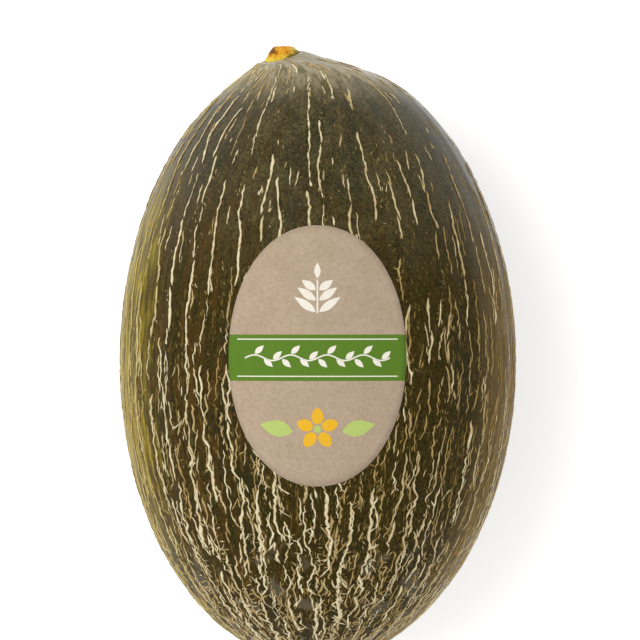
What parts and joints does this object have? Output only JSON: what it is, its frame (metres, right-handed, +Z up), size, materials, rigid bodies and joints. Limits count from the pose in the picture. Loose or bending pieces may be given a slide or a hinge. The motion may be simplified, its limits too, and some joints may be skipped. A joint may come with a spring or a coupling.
{
  "type": "piel de sapo melon",
  "caption": "Whole oval piel de sapo melon lying on its side, dark green rind with a raised net of cork streaks, corky stem stub and a plain oval paper label.",
  "frame": {"origin": "middle of the small flat spot that the lying melon rests on", "axes": "+Z up from the flat spot, +Y along the fruit towards the stem end, +X to the right of the label seen from above with the stem end away from the viewer"},
  "size_m": [0.1612, 0.2497, 0.1573],
  "materials": {
    "rind": "satin",
    "stem_cork": "matte",
    "label_paper": "matte"
  },
  "bodies": {
    "root": {"melon": "rind", "stem_stub": "stem_cork", "paper_label": "label_paper"}
  },
  "joints": []
}
